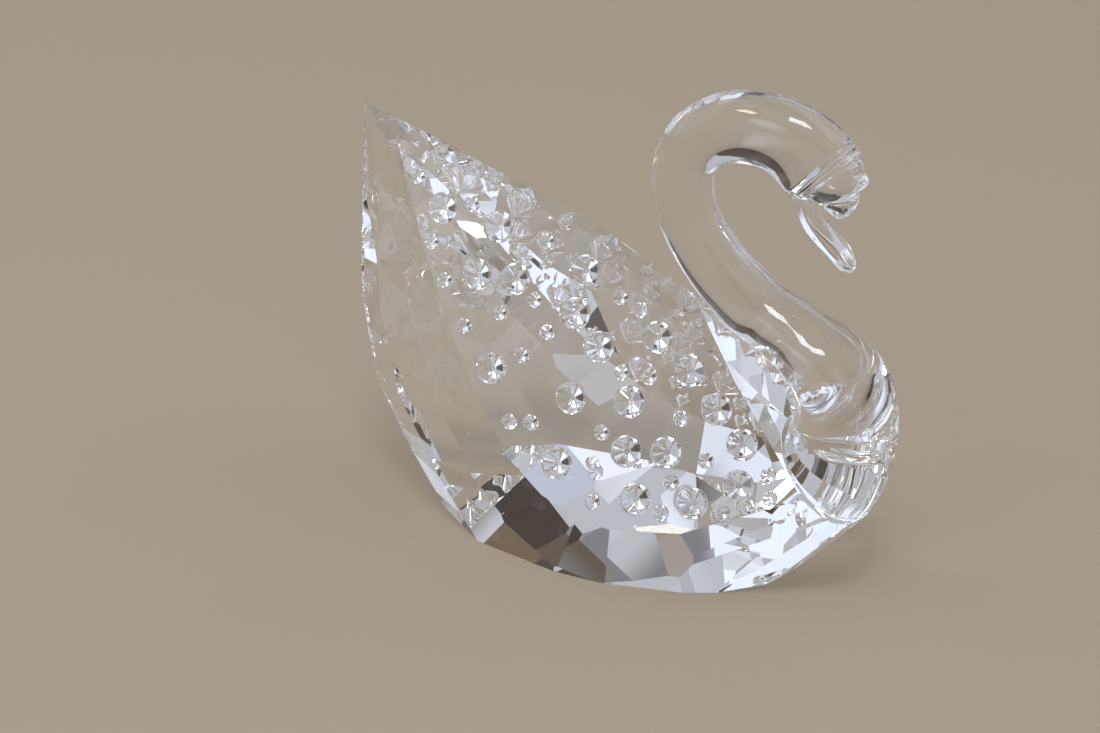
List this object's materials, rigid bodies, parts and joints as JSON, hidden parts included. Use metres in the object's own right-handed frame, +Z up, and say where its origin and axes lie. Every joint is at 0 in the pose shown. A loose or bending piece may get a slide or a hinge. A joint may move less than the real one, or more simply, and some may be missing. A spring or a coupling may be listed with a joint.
{
  "type": "crystal glass swan figurine",
  "caption": "Faceted clear crystal swan with round stones set in its wings and a smooth glass S-shaped neck, standing on a flat base facet.",
  "frame": {"origin": "centre of the flat base facet that the swan stands on", "axes": "+X the way the swan looks, from tail to breast; +Y the swan's left; +Z up"},
  "size_m": [0.0653, 0.0286, 0.0545],
  "materials": {
    "crystal": "polished clear lead crystal",
    "neck_glass": "fire polished clear glass",
    "stone_crystal": "polished clear cut stones",
    "clear_bond": "clear cured adhesive",
    "stone_adhesive": "clear cured adhesive"
  },
  "bodies": {
    "root": {"body": "crystal", "neck_and_head": "neck_glass", "neck_bond": "clear_bond", "stone_left_1": "stone_crystal", "stone_left_2": "stone_crystal", "stone_left_3": "stone_crystal", "stone_left_4": "stone_crystal", "stone_left_5": "stone_crystal", "stone_left_6": "stone_crystal", "stone_left_7": "stone_crystal", "stone_left_8": "stone_crystal", "stone_left_9": "stone_crystal", "stone_left_10": "stone_crystal", "stone_left_11": "stone_crystal", "stone_left_12": "stone_crystal", "stone_left_13": "stone_crystal", "stone_left_14": "stone_crystal", "stone_left_15": "stone_crystal", "stone_left_16": "stone_crystal", "stone_left_17": "stone_crystal", "stone_left_18": "stone_crystal", "stone_left_19": "stone_crystal", "stone_left_20": "stone_crystal", "stone_right_1": "stone_crystal", "stone_right_2": "stone_crystal", "stone_right_3": "stone_crystal", "stone_right_4": "stone_crystal", "stone_right_5": "stone_crystal", "stone_right_6": "stone_crystal", "stone_right_7": "stone_crystal", "stone_right_8": "stone_crystal", "stone_right_9": "stone_crystal", "stone_right_10": "stone_crystal", "stone_right_11": "stone_crystal", "stone_right_12": "stone_crystal", "stone_right_13": "stone_crystal", "stone_right_14": "stone_crystal", "stone_right_15": "stone_crystal", "stone_right_16": "stone_crystal", "stone_right_17": "stone_crystal", "stone_right_18": "stone_crystal", "stone_right_19": "stone_crystal", "stone_right_20": "stone_crystal", "small_stones_left_1": "stone_crystal", "small_stones_left_2": "stone_crystal", "small_stones_left_3": "stone_crystal", "small_stones_right_1": "stone_crystal", "small_stones_right_2": "stone_crystal", "small_stones_right_3": "stone_crystal", "stone_glue_left": "stone_adhesive", "stone_glue_right": "stone_adhesive", "small_glue_left": "stone_adhesive", "small_glue_right": "stone_adhesive"}
  },
  "joints": []
}
